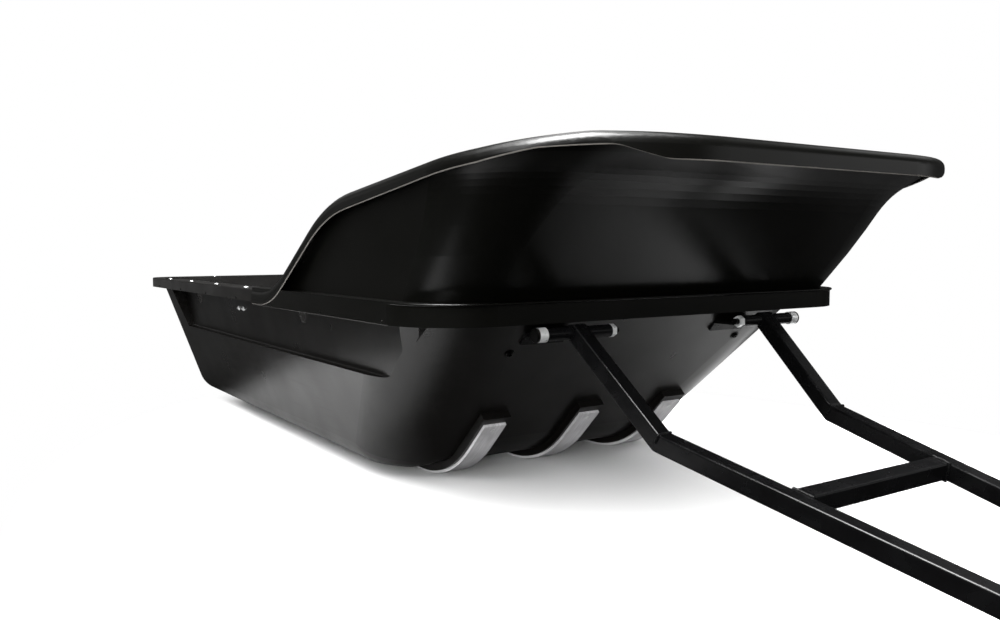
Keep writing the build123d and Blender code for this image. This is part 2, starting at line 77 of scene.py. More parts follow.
# Fasteners
RIM_RIVET_X = 430
RIM_RIVET_YS = (809, 1027, 1245, 1463)
REAR_RIVET_XS = (-260, 0, 260)
REAR_RIVET_Y = 1655
GUARD_RIVET_YS = (128, 358, 598)
GUARD_RIVET_Z = 307.5
TUB_RIVET_YS = (828, 1060, 1292, 1524)
TUB_RIVET_Z = 311.0
CLIP_PIN_X = 395.6
CLIP_PIN_YS = (943, 975)
CLIP_PIN_Z = 279
FRONT_SCREW_X = 248
FRONT_SCREW_Z = 250.5
STRIP_SCREW_YS = (430, 700, 970, 1240, 1510)
STRIP_SCREW_DROP = 9.2

# Drawbar and its hinges
HINGE = (201.5, 0.0, 288.0)  # middle of the right hinge's axis
TUBE = 25.4
HALF_TUBE = TUBE / 2
ARM_SPLAY = 0.13  # how far an arm moves inwards for each millimetre ahead
ARM_BEND = (-153.0, 154.0)  # Y and height of its bend
ARM_FALL = 0.215  # how far its lower run falls for each millimetre ahead
ARM_STRETCH = math.hypot(1, ARM_SPLAY)
SPLAY_ANGLE = math.atan(ARM_SPLAY)
CROSS_BAR_Y = -345.0
NOSE_BAR_Y = -810.209
NOSE_BAR_Z = 12.7
TONGUE_HALF_THICK = 5.4
TONGUE_WELD_HALF = 31
NOSE_WELD_LOW = 4
NOSE_WELD_TOP = 25
BEAD_SINK = 0.2
ARM_SLEEVE_END = 13.7
ARM_SLEEVE_RADIUS = 8.5
BRACKET_BEAD = (22, 50)  # from the hinge's middle
BRACKET_BEAD_Y = 8.6
BRACKET_BEAD_Z = 284.2


def at(x, y, z):
    """Millimetres from the rim's front edge to metres in the part's frame."""
    return Vector((x, y + RIM_FRONT_EDGE, z)) / 1000


def linear(hex_colour):
    """An sRGB hex colour as linear RGBA."""
    parts = [int(hex_colour[i:i + 2], 16) / 255 for i in (1, 3, 5)]
    return [p / 12.92 if p <= 0.04045 else ((p + 0.055) / 1.055) ** 2.4 for p in parts] + [1.0]


# Nodes


def feed(tree, made, inputs):
    """Gives each input, by name or number, a value or a link from another node's socket."""
    for name, value in inputs.items():
        if isinstance(value, bpy.types.NodeSocket):
            tree.links.new(value, made.inputs[name])
        else:
            made.inputs[name].default_value = value


def add(tree, kind, inputs, **attributes):
    """Adds a node with these attributes and inputs."""
    made = tree.nodes.new(kind)
    for name, value in attributes.items():
        setattr(made, name, value)
    feed(tree, made, inputs)
    return made


def maths(tree, operation, *values, clamp=False):
    """The result of a sum on values, each a number or a socket."""
    made = add(tree, "ShaderNodeMath", dict(enumerate(values)), operation=operation, use_clamp=clamp)
    return made.outputs[0]


def spread(tree, value, from_low, from_high, low=0.0, high=1.0):
    """Maps a value from one range to another and clamps it there."""
    ranges = {"From Min": from_low, "From Max": from_high, "To Min": low, "To Max": high}
    return add(tree, "ShaderNodeMapRange", {"Value": value, **ranges}).outputs[0]


def noise(tree, place, width, detail, drawn_out=None):
    """A pattern of clouds this wide in millimetres, drawn out along the axes whose scale is small."""
    if drawn_out:
        place = add(tree, "ShaderNodeMapping", {"Vector": place, "Scale": drawn_out}).outputs[0]
    inputs = {"Vector": place, "Scale": 1000.0 / width, "Detail": detail}
    return add(tree, "ShaderNodeTexNoise", inputs).outputs[0]


def blend(tree, factor, dark, pale):
    """A colour between two hex colours."""
    colours = {0: factor, 6: linear(dark), 7: linear(pale)}
    return add(tree, "ShaderNodeMix", colours, data_type="RGBA").outputs[2]


def bump(tree, height, strength, depth, normal=None):
    """A normal tilted by a pattern of this depth in metres, over another normal where one is given."""
    inputs = {"Height": height, "Strength": strength, "Distance": depth}
    if normal:
        inputs["Normal"] = normal
    return add(tree, "ShaderNodeBump", inputs).outputs[0]


# Materials


def new_material(name):
    """A new material with its tree, its surface and the place on the piece in metres."""
    material = bpy.data.materials.new(name)
    material.use_nodes = True
    tree = material.node_tree
    place = add(tree, "ShaderNodeTexCoord", {}).outputs["Object"]
    return material, tree, tree.nodes["Principled BSDF"], place


# Where the tub's strap slots lie, in metres, and how far their cut faces may look sideways
SLOT_MIDDLE_Z = 0.2855
SLOT_REACH_Z = 0.013
INBOARD_OF_SLOTS = 0.385
SLOT_FACE_TURN = 0.6


def dulled_at_slots(tree, place, roughness):
    """Roughness raised on the faces of the strap slots, which were cut after forming."""
    spot = add(tree, "ShaderNodeSeparateXYZ", {0: place}).outputs
    normal = add(tree, "ShaderNodeTexCoord", {}).outputs["Normal"]
    looks = add(tree, "ShaderNodeSeparateXYZ", {0: normal}).outputs
    level = maths(tree, "COMPARE", spot["Z"], SLOT_MIDDLE_Z, SLOT_REACH_Z)
    inboard = maths(tree, "COMPARE", spot["X"], 0.0, INBOARD_OF_SLOTS)
    at_slots = maths(tree, "SUBTRACT", level, inboard)
    along_sled = maths(tree, "COMPARE", looks["X"], 0.0, SLOT_FACE_TURN)
    cut = maths(tree, "MULTIPLY", at_slots, along_sled, clamp=True)
    return maths(tree, "MAXIMUM", roughness, cut)


def formed_polyethylene(name, colour, scuffed, smooth, rough, rubbed, peel_depth, wave_depth, mirror):
    """Black high-density polyethylene, vacuum formed: satin, faintly pebbled and wavy, with fine rubs."""
    material, tree, surface, place = new_material(name)
    # Rubs run along the sled, so they are drawn out along Y.
    rubs = spread(tree, noise(tree, place, 7, 6.0, (1.0, 0.06, 1.0)), 0.60, 0.78)
    sheen = spread(tree, noise(tree, place, 140, 3.0), 0.3, 0.7, smooth, rough)
    wavy = bump(tree, noise(tree, place, 110, 1.0), 1.0, wave_depth)
    feed(tree, surface, {
        "Base Color": blend(tree, maths(tree, "MULTIPLY", rubs, 0.55), colour, scuffed),
        "Roughness": dulled_at_slots(tree, place, maths(tree, "MULTIPLY_ADD", rubs, rubbed, sheen)),
        "Normal": bump(tree, noise(tree, place, 3.5, 2.0), 1.0, peel_depth, wavy),
        "IOR": 1.54,
        "Specular IOR Level": mirror,
    })
    return material


def extruded_strip():
    """Grey ultra-high-weight polyethylene, extruded: waxy, with long draw lines and scratches from use."""
    material, tree, surface, place = new_material("uhmw_polyethylene_extruded")
    draw = noise(tree, place, 1.6, 4.0, (1.0, 0.02, 0.05))
    cloud = noise(tree, place, 45, 4.0)
    tone = spread(tree, maths(tree, "MULTIPLY", draw, cloud), 0.15, 0.36)
    feed(tree, surface, {
        "Base Color": blend(tree, tone, "#b2b1b3", "#d2d1d3"),
        "Roughness": spread(tree, cloud, 0.0, 1.0, 0.34, 0.56),
        "Normal": bump(tree, draw, 0.6, 0.0002),
        "IOR": 1.53,
    })
    return material


def powder_coat(name, smooth, rough):
    """Black polyester powder coat, baked: glossy with a soft orange peel and a few dull rubs."""
    material, tree, surface, place = new_material(name)
    cloud = noise(tree, place, 30, 5.0)
    feed(tree, surface, {
        "Base Color": blend(tree, cloud, "#050505", "#0a0a0b"),
        "Roughness": spread(tree, cloud, 0.35, 0.7, smooth, rough),
        "Normal": bump(tree, noise(tree, place, 2.4, 2.0), 0.8, 0.00012),
        "IOR": 1.5,
        "Specular IOR Level": 0.12,
    })
    return material


def trimmed_edge(name, dark, pale):
    """Where formed polyethylene was cut with a router: paler, dull and finely ragged."""
    material, tree, surface, place = new_material(name)
    ragged = noise(tree, place, 9, 6.0)
    feed(tree, surface, {
        "Base Color": blend(tree, ragged, dark, pale),
        "Roughness": 0.5,
        "Normal": bump(tree, ragged, 0.6, 0.0002),
        "IOR": 1.54,
    })
    return material


def zinc_plate():
    """Turned steel, zinc plated: pale, with clouded passivation that is part dull, and fine turning marks."""
    material, tree, surface, place = new_material("zinc_plated_steel")
    cloud = noise(tree, place, 5, 5.0)
    marks = noise(tree, place, 0.8, 2.0, (1.0, 0.05, 0.05))
    feed(tree, surface, {
        "Base Color": blend(tree, cloud, "#d2d5d9", "#f2f2ee"),
        "Roughness": spread(tree, cloud, 0.0, 1.0, 0.20, 0.42),
        "Normal": bump(tree, marks, 0.5, 0.0001),
        "Metallic": 0.62,
    })
    return material


def black_oxide():
    """Steel blackened in a hot bath: dark, a little oily, worn lighter in clouds."""
    material, tree, surface, place = new_material("black_oxide_steel")
    cloud = noise(tree, place, 4, 4.0)
    feed(tree, surface, {
        "Base Color": blend(tree, cloud, "#0d0d0e", "#232321"),
        "Roughness": spread(tree, cloud, 0.0, 1.0, 0.28, 0.5),
        "Metallic": 1.0,
    })
    return material


tub_plastic = formed_polyethylene(
    "hdpe_formed_satin", "#0b0a09", "#1e1c1a", smooth=0.27, rough=0.36, rubbed=0.05,
    peel_depth=0.00004, wave_depth=0.0012, mirror=0.3,
)
guard_plastic = formed_polyethylene(
    "hdpe_formed_gloss", "#050504", "#080807", smooth=0.28, rough=0.32, rubbed=0.02,
    peel_depth=0.000004, wave_depth=0.0003, mirror=0.17,
)
strip_plastic = extruded_strip()
drawbar_paint = powder_coat("powder_coat_gloss", 0.18, 0.34)
weld_paint = powder_coat("powder_coat_on_weld", 0.22, 0.40)
zinc = zinc_plate()
oxide = black_oxide()
# The lip's trimmed edge is drawn pale. The colour is partly the cut edge's own and partly a painted highlight
# along it.
lip_trim_and_painted_highlight = trimmed_edge("hdpe_trimmed_lip_painted_highlight", "#56534f", "#8d8984")
flange_trim = trimmed_edge("hdpe_trimmed_flange", "#1a1918", "#3b3937")

finish_of = {"tub": tub_plastic, "wind_guard": guard_plastic}
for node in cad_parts:
    if node.startswith("runner_strip"):
        finish_of[node] = strip_plastic
    elif node.startswith(("hinge_collar", "hinge_nut")):
        finish_of[node] = zinc
    elif node.startswith("hinge_bolt"):
        finish_of[node] = oxide
    elif node not in finish_of:
        finish_of[node] = drawbar_paint
for node, material in finish_of.items():
    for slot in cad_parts[node].material_slots:
        slot.material = material

# Turned forms: heads, rivets and pins


def ring(radius, height, sides, segments):
    """One ring of a turned form. With sides set it is a regular polygon of that corner radius."""
    points = []
    for step in range(segments):
        angle = 2 * math.pi * step / segments
        reach = radius
        if sides:
            half = math.pi / sides
            reach *= math.cos(half) / math.cos(angle % (2 * half) - half)
        points.append((reach * math.cos(angle), reach * math.sin(angle), height))
    return points


def turned(name, rings, segments=24):
    """A closed form from rings given as radius, height and sides, in millimetres, along +Z."""
    made = bmesh.new()
    rows = []
    for radius, height, sides in rings:
        if radius == 0:
            rows.append([made.verts.new((0, 0, height / 1000))])
        else:
            points = ring(radius / 1000, height / 1000, sides, segments)
            rows.append([made.verts.new(point) for point in points])
    for low, high in zip(rows, rows[1:]):
        for step in range(segments):
            after = (step + 1) % segments
            foot = (low[step % len(low)], low[after % len(low)])
            head = (high[after % len(high)], high[step % len(high)])
            unique = list(dict.fromkeys(foot + head))
            if len(unique) > 2:
                made.faces.new(unique)
    bmesh.ops.recalc_face_normals(made, faces=made.faces)
    mesh = bpy.data.meshes.new(name)
    made.to_mesh(mesh)
    made.free()
    for face in mesh.polygons:
        face.use_smooth = True
    mesh.set_sharp_from_angle(angle=math.radians(32))
    form = bpy.data.objects.new(name, mesh)
    bpy.context.scene.collection.objects.link(form)
    return form


# Geometry Nodes trees, which are run and kept as plain meshes


def group_tree(name, inputs):
    """An empty tree with its nodes for what is given and what results, and the named inputs."""
    tree = bpy.data.node_groups.new(name, "GeometryNodeTree")
    face = tree.interface
    face.new_socket("Geometry", in_out="INPUT", socket_type="NodeSocketGeometry")
    face.new_socket("Geometry", in_out="OUTPUT", socket_type="NodeSocketGeometry")
    for label, kind in inputs:
        face.new_socket(label, in_out="INPUT", socket_type=kind)
    return tree, tree.nodes.new("NodeGroupInput").outputs, tree.nodes.new("NodeGroupOutput")


def finished(tree, geometry, given, result, smooth):
    """Ends a tree: instances made real, shaded smooth where asked, with the given finish."""
    real = add(tree, "GeometryNodeRealizeInstances", {"Geometry": geometry}).outputs[0]
    if smooth:
        real = add(tree, "GeometryNodeSetShadeSmooth", {"Geometry": real}).outputs[0]
    dressed = add(tree, "GeometryNodeSetMaterial", {"Geometry": real, "Material": given["Finish"]})
    tree.links.new(dressed.outputs[0], result.inputs["Geometry"])
    return tree


def placing_tree():
    """Sets a form on each point, with its +Z along the point's facing attribute."""
    tree, given, result = group_tree(
        "forms_on_points", [("Form", "NodeSocketObject"), ("Finish", "NodeSocketMaterial")]
    )
    points = add(tree, "GeometryNodeMeshToPoints", {"Mesh": given["Geometry"]})
    form = add(tree, "GeometryNodeObjectInfo", {"Object": given["Form"]})
    facing = add(tree, "GeometryNodeInputNamedAttribute", {"Name": "facing"}, data_type="FLOAT_VECTOR")
    turn = add(tree, "FunctionNodeAlignRotationToVector", {"Vector": facing.outputs["Attribute"]}, axis="Z")
    placed = add(tree, "GeometryNodeInstanceOnPoints", {
        "Points": points.outputs[0],
        "Instance": form.outputs["Geometry"],
        "Rotation": turn.outputs[0],
    })
    return finished(tree, placed.outputs[0], given, result, smooth=False)


def bead_tree():
    """Lays overlapping drops along an open or closed path, as a weld bead."""
    tree, given, result = group_tree(
        "weld_bead",
        [("Width", "NodeSocketFloat"), ("Step", "NodeSocketFloat"), ("Finish", "NodeSocketMaterial")],
    )
    path = add(tree, "GeometryNodeMeshToCurve", {"Mesh": given["Geometry"]}).outputs[0]
    spacing = {"Curve": path, "Length": given["Step"]}
    points = add(tree, "GeometryNodeCurveToPoints", spacing, mode="LENGTH").outputs
    drop = add(tree, "GeometryNodeMeshUVSphere", {"Segments": 10, "Rings": 6, "Radius": given["Width"]})
    least, most = (0.46, 0.46, 0.34), (0.56, 0.56, 0.44)
    size = add(tree, "FunctionNodeRandomValue", {0: least, 1: most, "Seed": 4}, data_type="FLOAT_VECTOR")
    placed = add(tree, "GeometryNodeInstanceOnPoints", {
        "Points": points["Points"],
        "Instance": drop.outputs[0],
        "Rotation": points["Rotation"],
        "Scale": size.outputs[0],
    })
    return finished(tree, placed.outputs[0], given, result, smooth=True)


def section_tree():
    """Draws a round section along a path, as a rounded or burred edge."""
    tree, given, result = group_tree(
        "round_section_on_path", [("Width", "NodeSocketFloat"), ("Finish", "NodeSocketMaterial")]
    )
    path = add(tree, "GeometryNodeMeshToCurve", {"Mesh": given["Geometry"]}).outputs[0]
    section = add(tree, "GeometryNodeCurvePrimitiveCircle", {"Resolution": 10, "Radius": given["Width"]})
    drawn = add(tree, "GeometryNodeCurveToMesh", {
        "Curve": path,
        "Profile Curve": section.outputs["Curve"],
        "Fill Caps": True,
    })
    return finished(tree, drawn.outputs[0], given, result, smooth=True)


def baked(name, base, tree, values, body):
    """Runs a tree on a base mesh, keeps the result as a plain mesh and lets it ride on a body."""
    source = bpy.data.objects.new(name + "_source", base)
    bpy.context.scene.collection.objects.link(source)
    modifier = source.modifiers.new("nodes", "NODES")
    modifier.node_group = tree
    for item in tree.interface.items_tree:
        if item.name in values:
            modifier[item.identifier] = values[item.name]
    graph = bpy.context.evaluated_depsgraph_get()
    mesh = bpy.data.meshes.new_from_object(source.evaluated_get(graph), depsgraph=graph)
    bpy.data.objects.remove(source)
    piece = bpy.data.objects.new(name, mesh)
    bpy.context.scene.collection.objects.link(piece)
    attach(piece, body)
    return piece


place_forms = placing_tree()
lay_bead = bead_tree()
draw_section = section_tree()


def set_on(name, form, places, finish):
    """Sets copies of a form on the sled, at places given as a position in metres and a direction."""
    base = bpy.data.meshes.new(name)
    base.from_pydata([position for position, _ in places], [], [])
    facing = base.attributes.new("facing", "FLOAT_VECTOR", "POINT")
    for row, (_, direction) in zip(facing.data, places):
        row.vector = Vector(direction).normalized()
    return baked(name, base, place_forms, {"Form": form, "Finish": finish}, "sled")


def path_mesh(name, paths, closed=False):
    """Edges along each path of positions in metres, back to its start where paths are closed."""
    mesh = bpy.data.meshes.new(name)
    points, edges = [], []
    for path in paths:
        first = len(points)
        points += path
        edges += [(first + i, first + i + 1) for i in range(len(path) - 1)]
        if closed:
            edges.append((len(points) - 1, first))
    mesh.from_pydata(points, edges, [])
    return mesh


def weld(name, paths, width, step, body, closed=False):
    """A painted bead along each path, its width and the step between its drops in millimetres."""
    values = {"Width": width / 1000, "Step": step / 1000, "Finish": weld_paint}
    return baked(name, path_mesh(name, paths, closed), lay_bead, values, body)


def draw_along(name, paths, radius, finish):
    """A round section of this radius in millimetres along each path, on the guard."""
    values = {"Width": radius / 1000, "Finish": finish}
    return baked(name, path_mesh(name, paths), draw_section, values, "sled")


# Rivets, screws and pins

# Rings of each head as radius, height and sides, from its foot to its middle
rivet_head = turned("rivet_head_form", (
    (0, -0.4, 0), (4.6, -0.4, 0), (4.8, 0.3, 0), (4.5, 1.0, 0), (3.6, 1.7, 0), (2.2, 2.1, 0), (1.3, 2.2, 0),
    (1.0, 1.6, 0), (0, 1.5, 0)))
socket_screw = turned("socket_screw_form", (
    (0, -0.5, 0), (8.6, -0.5, 0), (8.8, 0.2, 0), (8.6, 0.9, 0), (6.4, 1.1, 0), (6.2, 1.5, 0), (5.6, 3.0, 0),
    (4.2, 3.9, 0), (3.2, 4.0, 0), (2.8, 4.0, 6), (2.7, 1.4, 6), (0, 1.2, 0)))
strip_screw = turned("strip_screw_form", (
    (0, -2.0, 0), (2.4, -2.0, 0), (4.1, -0.3, 0), (3.9, -0.15, 0), (1.9, -0.15, 0), (1.8, -1.3, 6),
    (0, -1.4, 0)))
clip_pin = turned("clip_pin_form", (
    (0, -1.0, 0), (5.4, -1.0, 0), (5.6, 0.4, 0), (5.2, 1.2, 0), (3.4, 1.5, 0), (2.8, 1.6, 0), (2.6, 3.4, 0),
    (2.2, 3.9, 0), (0, 4.1, 0)))
small_rivet = turned("small_rivet_form", (
    (0, -0.4, 0), (2.3, -0.4, 0), (2.4, 0.2, 0), (1.8, 0.9, 0), (0, 1.2, 0)))

# Rivets go through the rim's flat top, small ones through the skirts of the guard and the rim.
rim_rivets, skirt_rivets, clip_pins, front_screws, strip_screws = [], [], [], [], []
for _, sign in SIDES:
    outwards = (sign, 0, 0)
    rim_rivets += [(at(sign * RIM_RIVET_X, y, RIM_TOP), (0, 0, 1)) for y in RIM_RIVET_YS]
    skirt_rivets += [(at(sign * FLANGE_HALF_WIDTH, y, GUARD_RIVET_Z), outwards) for y in GUARD_RIVET_YS]
    skirt_rivets += [(at(sign * RIM_HALF_WIDTH, y, TUB_RIVET_Z), outwards) for y in TUB_RIVET_YS]
    clip_pins += [(at(sign * CLIP_PIN_X, y, CLIP_PIN_Z), (sign, 0, -0.18)) for y in CLIP_PIN_YS]
    screw_y = FRONT_FACE_SUM - FRONT_SCREW_Z
    front_screws.append((at(sign * FRONT_SCREW_X, screw_y, FRONT_SCREW_Z), (0, -1, -1)))
rim_rivets += [(at(x, REAR_RIVET_Y, RIM_TOP), (0, 0, 1)) for x in REAR_RIVET_XS]
for x in STRIP_XS:
    top_place = at(x, STRIP_TOP[0] + STRIP_SCREW_DROP, STRIP_TOP[1] - STRIP_SCREW_DROP)
    strip_screws.append((top_place, (0, -1, -1)))
    strip_screws += [(at(x, y, 0), (0, 0, -1)) for y in STRIP_SCREW_YS]

set_on("rim_rivets", rivet_head, rim_rivets, zinc)
set_on("skirt_rivets", small_rivet, skirt_rivets, oxide)
set_on("clip_pins", clip_pin, clip_pins, zinc)
set_on("front_screws", socket_screw, front_screws, oxide)
set_on("strip_screws", strip_screw, strip_screws, zinc)
for form in (rivet_head, socket_screw, strip_screw, clip_pin, small_rivet):
    bpy.data.objects.remove(form)

# Edges of the wind guard


def rounded_line(rows):
    """Close points along a line whose rows give Y, height and the radius of the round at that corner."""
    points = [Vector(rows[0][:2])]
    for before, here, after in zip(rows, rows[1:], rows[2:]):
        corner = Vector(here[:2])
        back = (Vector(before[:2]) - corner).normalized()
        ahead = (Vector(after[:2]) - corner).normalized()
        cut = here[2] * math.tan((math.pi - back.angle(ahead)) / 2)
        for step in range(9):
            points.append(corner + back * cut * (1 - step / 8) ** 2 + ahead * cut * (step / 8) ** 2)
    points.append(Vector(rows[-1][:2]))
    return points


def height_on(line, y):
    """Height of a line at this Y."""
    for low, high in zip(line, line[1:]):
        if low.x <= y <= high.x and high.x > low.x:
            return low.y + (high.y - low.y) * (y - low.x) / (high.x - low.x)
    return line[-1].y


def front_corner(half_width, front, radius, inset, degrees):
    """Plan points round an outline's right front corner, from its flank to its front, inside by inset."""
    reach = radius - inset
    points = []
    for angle in range(0, 91, degrees):
        turn = math.radians(angle)
        points.append((half_width - radius + reach * math.cos(turn), front + radius - reach * math.sin(turn)))
    return points


def both_halves(right_half):
    """A path from its right half, which starts at the rear, to its left rear end."""
    return right_half + [Vector((-point.x, point.y, point.z)) for point in reversed(right_half)]


def lip_path():
    """The trimmed lower edge of the guard's lip, from one rear end round the front to the other."""
    low_line = rounded_line(LIP_LOW_LINE)
    plan = [(LIP_HALF_WIDTH - LIP_BURR_INSET, y) for y in range(GUARD_REAR - 1, LIP_FRONT + LIP_CORNER, -6)]
    plan += front_corner(LIP_HALF_WIDTH, LIP_FRONT, LIP_CORNER, LIP_BURR_INSET, 1)
    return both_halves([at(x, y, height_on(low_line, y) - LIP_BURR_DROP) for x, y in plan])


def flange_path():
    """The upper edge of the guard's flange, from one rear end round the front to the other."""
    plan = [(FLANGE_HALF_WIDTH - UPPER_EDGE_INSET, GUARD_REAR - 0.5)]
    plan += front_corner(FLANGE_HALF_WIDTH, FLANGE_FRONT, FLANGE_CORNER, UPPER_EDGE_INSET, 5)
    return both_halves([at(x, y, UPPER_EDGE_Z) for x, y in plan])


def flank_path(sign):
    """The lower edge of the flange along one flank. The drawbar's arms swing clear of it."""
    x = sign * (FLANGE_HALF_WIDTH - LOWER_EDGE_RADIUS)
    return [at(x, y, LOWER_EDGE_Z) for y in (GUARD_REAR - 0.5, LOWER_EDGE_FRONT)]


# A bead along the lip's trimmed edge. Its pale colour is partly a painted highlight.
draw_along("lip_edge", [lip_path()], LIP_BURR_RADIUS, lip_trim_and_painted_highlight)
draw_along("flange_upper_edge", [flange_path()], UPPER_EDGE_RADIUS, guard_plastic)
draw_along("flange_lower_edges", [flank_path(sign) for _, sign in SIDES], LOWER_EDGE_RADIUS, flange_trim)

# Weld beads of the drawbar and the hinge brackets


def bend_path(sign):
    """The inside of an arm's bend: across the top and halfway down both sides of the tube."""
    bend_x = HINGE[0] + ARM_BEND[0] * ARM_SPLAY
    upper_angle = math.atan2(HINGE[2] - ARM_BEND[1], -ARM_BEND[0] * ARM_STRETCH)
    lower_angle = math.atan2(ARM_FALL, ARM_STRETCH)
    tilt = (upper_angle + lower_angle) / 2
    corner = HALF_TUBE / math.cos((upper_angle - lower_angle) / 2) - BEAD_SINK
    path = []
    for across, lift in ((-1, 0.1), (-1, 1), (1, 1), (1, 0.1)):
        path.append(at(
            sign * (bend_x + across * HALF_TUBE * math.cos(SPLAY_ANGLE)),
            ARM_BEND[0] - across * HALF_TUBE * math.sin(SPLAY_ANGLE) - math.sin(tilt) * corner * lift,
            ARM_BEND[1] + math.cos(tilt) * corner * lift,
        ))
    return path


def bar_end_path(sign):
    """Around one end of the cross bar."""
    bar_x = HINGE[0] + CROSS_BAR_Y * ARM_SPLAY - HALF_TUBE / math.cos(SPLAY_ANGLE)
    bar_z = ARM_BEND[1] - (ARM_BEND[0] - CROSS_BAR_Y) * ARM_FALL
    fall = math.atan(ARM_FALL * math.cos(SPLAY_ANGLE))
    path = []
    for forward, lift in ((-1, -1), (1, -1), (1, 1), (-1, 1)):
        y = HALF_TUBE * (forward * math.cos(fall) - lift * math.sin(fall))
        z = HALF_TUBE * (forward * math.sin(fall) + lift * math.cos(fall))
        path.append(at(sign * (bar_x + y * ARM_SPLAY - 0.3), CROSS_BAR_Y + y, bar_z + z))
    return path


def arm_end_path(sign):
    """Up, over and down an arm where it meets the nose bar."""
    y = NOSE_BAR_Y + HALF_TUBE
    middle = HINGE[0] + y * ARM_SPLAY
    reach = HALF_TUBE / math.cos(SPLAY_ANGLE)
    near, far = sign * (middle - reach), sign * (middle + reach)
    corners = ((near, NOSE_WELD_LOW), (near, NOSE_WELD_TOP), (far, NOSE_WELD_TOP), (far, NOSE_WELD_LOW))
    return [at(x, y, z) for x, z in corners]


def tongue_path(side):
    """Along the tongue's upper or lower edge on the nose bar."""
    y = NOSE_BAR_Y - HALF_TUBE - BEAD_SINK
    z = NOSE_BAR_Z + side * TONGUE_HALF_THICK
    return [at(-TONGUE_WELD_HALF, y, z), at(TONGUE_WELD_HALF, y, z)]


def sleeve_path(sign, side):
    """Round an arm's own sleeve where it leaves one side of the tube."""
    path = []
    for step in range(16):
        angle = 2 * math.pi * step / 16
        path.append(at(
            sign * (HINGE[0] + side * ARM_SLEEVE_END),
            HINGE[1] + ARM_SLEEVE_RADIUS * math.cos(angle),
            HINGE[2] + ARM_SLEEVE_RADIUS * math.sin(angle),
        ))
    return path


def bracket_path(sign, side):
    """Along a bracket's sleeve where it lies on its plate."""
    ends = sorted(side * end for end in BRACKET_BEAD)
    return [at(sign * (HINGE[0] + end), BRACKET_BEAD_Y, BRACKET_BEAD_Z) for end in ends]


signs = [sign for _, sign in SIDES]
hinge_sides = [(sign, side) for sign in signs for side in (-1, 1)]
nose_paths = [arm_end_path(sign) for sign in signs] + [tongue_path(side) for side in (-1, 1)]
weld("bend_welds", [bend_path(sign) for sign in signs], 4.2, 1.7, "drawbar")
weld("cross_bar_welds", [bar_end_path(sign) for sign in signs], 4.4, 1.7, "drawbar", closed=True)
weld("nose_bar_welds", nose_paths, 4.0, 1.7, "drawbar")
weld("sleeve_welds", [sleeve_path(*pair) for pair in hinge_sides], 2.2, 1.2, "drawbar", closed=True)
weld("bracket_welds", [bracket_path(*pair) for pair in hinge_sides], 3.6, 1.6, "sled")

# Floor, in metres
FLOOR_REACH = 30.0
SHEET_MIDDLE = (0.0, -0.4)
SHEET_HALF = (0.88, 1.5)
# The sheet's paleness in the plastic's mirror is painted light, not lamp light falling on it.
PAINTED_SHEET_PALENESS = 0.41  # how pale the sheet is in the plastic's mirror

floor_mesh = bpy.data.meshes.new("floor")
floor_corners = [(x * FLOOR_REACH, y * FLOOR_REACH, 0) for x, y in ((-1, -1), (1, -1), (1, 1), (-1, 1))]
floor_mesh.from_pydata(floor_corners, [], [(0, 1, 2, 3)])
floor = bpy.data.objects.new("floor", floor_mesh)
bpy.context.scene.collection.objects.link(floor)


def sheet_painted_in_mirror(tree, place):
    """How pale each place of the sheet is in the plastic's mirror: painted shade all over it, but for three
    areas painted pale.
    """
    spot = add(tree, "ShaderNodeSeparateXYZ", {0: place}).outputs

    def line(across, along, offset, soft):
        """A soft half plane: 1 where across * x + along * y is above the offset."""
        tilted = maths(tree, "MULTIPLY", spot["Y"], along)
        summed = maths(tree, "MULTIPLY_ADD", spot["X"], across, tilted)
        edge = {"Value": summed, "From Min": offset - soft, "From Max": offset + soft}
        return add(tree, "ShaderNodeMapRange", edge, interpolation_type="SMOOTHSTEP").outputs[0]

    def combine(operation, first, *others):
        for other in others:
            first = maths(tree, operation, first, other)
        return first

    # A wedge ahead of the sled, between a slanted line on its left and one on its right
    wedge_left = combine("MAXIMUM", line(1.0, 0.8136, -0.3805, 0.04), line(0.0, 1.0, -0.33, 0.06))
    wedge_inner = line(1.0, 0.0, -0.05, 0.35)
    wedge_right = line(-1.0, 1.011, -0.942, 0.07)
    wedge = combine("MINIMUM", wedge_left, wedge_inner, wedge_right)
    # The floor on the sled's left, and all of it behind the sled's middle
    beside = combine("MINIMUM", line(-1.0, 0.0, 0.36, 0.06), line(0.0, 1.0, -0.36, 0.05))
    behind = line(0.0, 1.0, 0.0, 0.10)
    # These three areas are painted pale. The rest of the sheet is painted shade.
    pale = combine("MAXIMUM", wedge, beside, behind)
    return maths(tree, "MULTIPLY", pale, PAINTED_SHEET_PALENESS)
